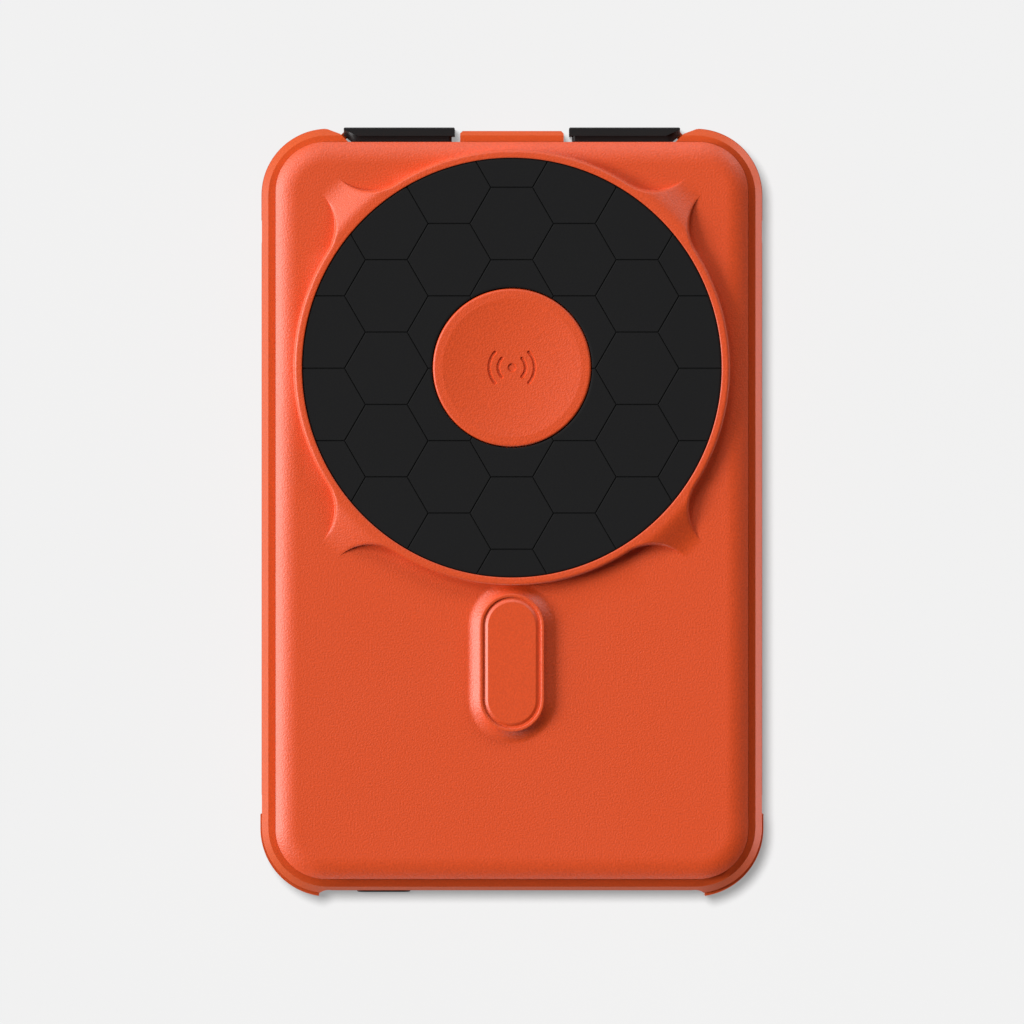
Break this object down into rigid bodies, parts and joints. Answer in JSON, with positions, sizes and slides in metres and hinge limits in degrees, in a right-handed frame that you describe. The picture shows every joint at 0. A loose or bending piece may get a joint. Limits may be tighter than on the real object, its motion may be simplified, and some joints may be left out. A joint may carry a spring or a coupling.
{
  "type": "magnetic wireless power bank",
  "caption": "Rugged pocket power bank with a raised magnetic charging ring and hexagon-tiled pad, hinged rubber port covers, corner guards and a sprung power button.",
  "frame": {"origin": "centre of the box's bottom, on the plane of the back face", "axes": "+Z out of the charging face, +Y towards the edge with the port covers, +X to the right seen from above the charging face"},
  "size_m": [0.0718, 0.1098, 0.0198],
  "materials": {
    "orange_shell": "fine sand texture",
    "orange_guard": "fine sand texture, soft",
    "pad_black": "matte silicone with hexagon grooves",
    "cover_black": "satin moulded rubber",
    "gasket_black": "matte",
    "button_black": "satin",
    "steel": "brushed",
    "black_steel": "black oxide",
    "nickel": "nickel plated",
    "brass_insert": "knurled",
    "magnet_nickel": "nickel plated",
    "copper": "lacquered wire",
    "ferrite": "ceramic grey",
    "inner_plastic": "moulded",
    "cell_wrap": "aluminium-laminate pouch",
    "foam": "closed-cell foam",
    "aluminium_shield": "bare sheet",
    "board_green": "solder mask",
    "chip_black": "moulded epoxy",
    "capacitor_tan": "ceramic",
    "light_diffuser": "milky",
    "led_white": "phosphor",
    "flex_amber": "polyimide film"
  },
  "bodies": {
    "housing": {"back_shell": "orange_shell", "front_shell": "orange_shell", "centre_disc": "orange_shell", "alignment_cap": "orange_shell", "corner_guard_top_left": "orange_guard", "corner_guard_top_right": "orange_guard", "corner_guard_bottom_left": "orange_guard", "corner_guard_bottom_right": "orange_guard", "side_grip_left": "orange_guard", "side_grip_right": "orange_guard", "hex_pad": "pad_black", "seal_gasket": "gasket_black", "tact_switch": "inner_plastic", "hinge_pin_left": "steel", "hinge_pin_right": "steel", "case_screws": "black_steel", "board_screws": "steel", "threaded_inserts": "brass_insert", "alignment_magnet": "magnet_nickel", "magnet_ring": "magnet_nickel", "magnet_shunt": "steel", "charging_coil": "copper", "coil_ferrite": "ferrite", "coil_carrier": "inner_plastic", "coil_leads": "copper", "battery_cell_lower": "cell_wrap", "battery_cell_upper": "cell_wrap", "cell_foam_lower": "foam", "cell_foam_middle": "foam", "cell_tray": "inner_plastic", "battery_tabs": "nickel", "shield_plate": "aluminium_shield", "main_board": "board_green", "usb_c_shell": "nickel", "usb_c_tongue": "chip_black", "usb_a_shell": "nickel", "usb_a_tongue": "inner_plastic", "power_inductors": "chip_black", "control_chips": "chip_black", "board_capacitors": "capacitor_tan", "button_board": "board_green", "charge_leds": "led_white", "light_pipe": "light_diffuser", "flex_ribbon": "flex_amber"},
    "left_cover": {"port_cover_left": "cover_black"},
    "right_cover": {"port_cover_right": "cover_black"},
    "button": {"power_button": "button_black", "switch_plunger": "button_black"}
  },
  "joints": [
    {"name": "left_cover_hinge", "type": "hinge", "parent": "housing", "child": "left_cover", "pos_m": [-0.02342, 0.05428, 0.0085], "axis": [0, 0, 1], "range_deg": [0, 120]},
    {"name": "right_cover_hinge", "type": "hinge", "parent": "housing", "child": "right_cover", "pos_m": [0.02342, 0.05428, 0.0085], "axis": [0, 0, -1], "range_deg": [0, 120]},
    {"name": "power_button_press", "type": "slide", "parent": "housing", "child": "button", "axis": [0, 1, 0], "range_m": [0, 0.0004], "stiffness_N_per_m": 1500}
  ]
}
